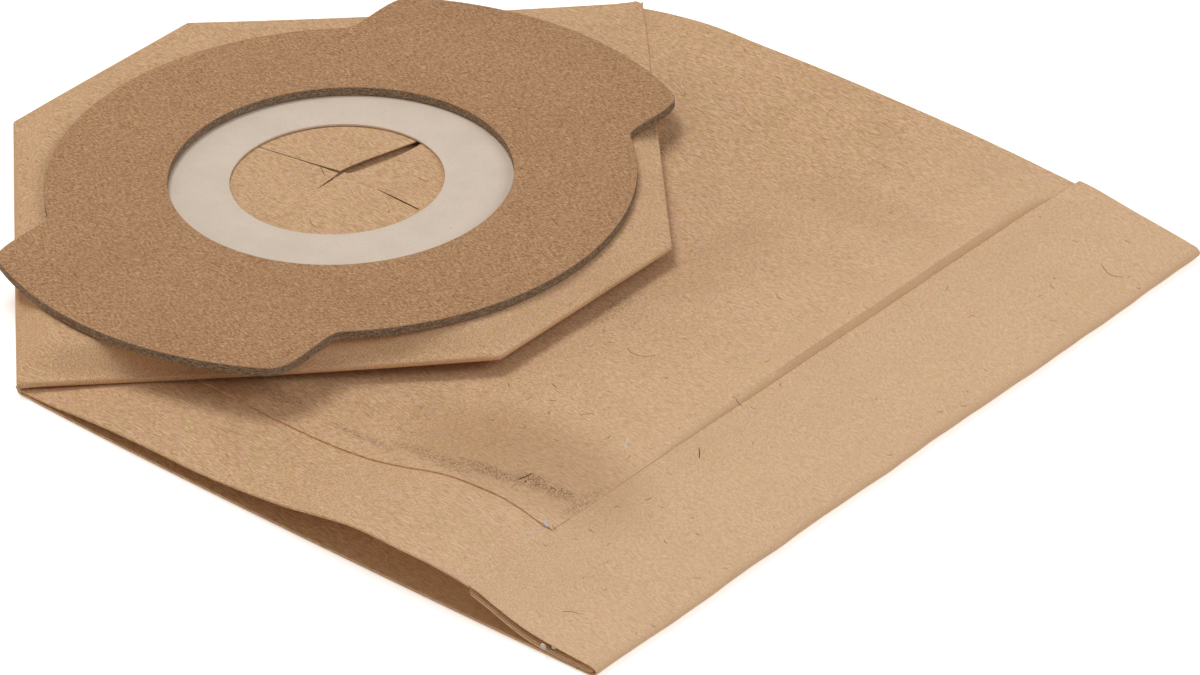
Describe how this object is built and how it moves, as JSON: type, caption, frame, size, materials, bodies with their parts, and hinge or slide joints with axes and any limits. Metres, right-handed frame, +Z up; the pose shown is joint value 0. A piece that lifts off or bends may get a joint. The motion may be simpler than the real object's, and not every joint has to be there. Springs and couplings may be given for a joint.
{
  "type": "vacuum dust bag",
  "caption": "Flat folded kraft paper dust bag with a pasted block bottom, a punched board collar and a pale seal ring round a slit inlet.",
  "frame": {"origin": "middle of the bag's footprint, on the surface it lies on", "axes": "+X along the bag from the block bottom to the folded closed end, +Y across the bag, +Z up out of the collar"},
  "size_m": [0.2644, 0.2388, 0.0166],
  "materials": {
    "kraft_paper": "uncoated brown kraft paper with fine fibres",
    "seal_membrane": "matt off-white membrane",
    "lined_board": "grey fibre board with a brown kraft liner"
  },
  "bodies": {
    "root": {"paper_bag": "kraft_paper", "seal_ring": "seal_membrane", "collar_plate": "lined_board"}
  },
  "joints": []
}
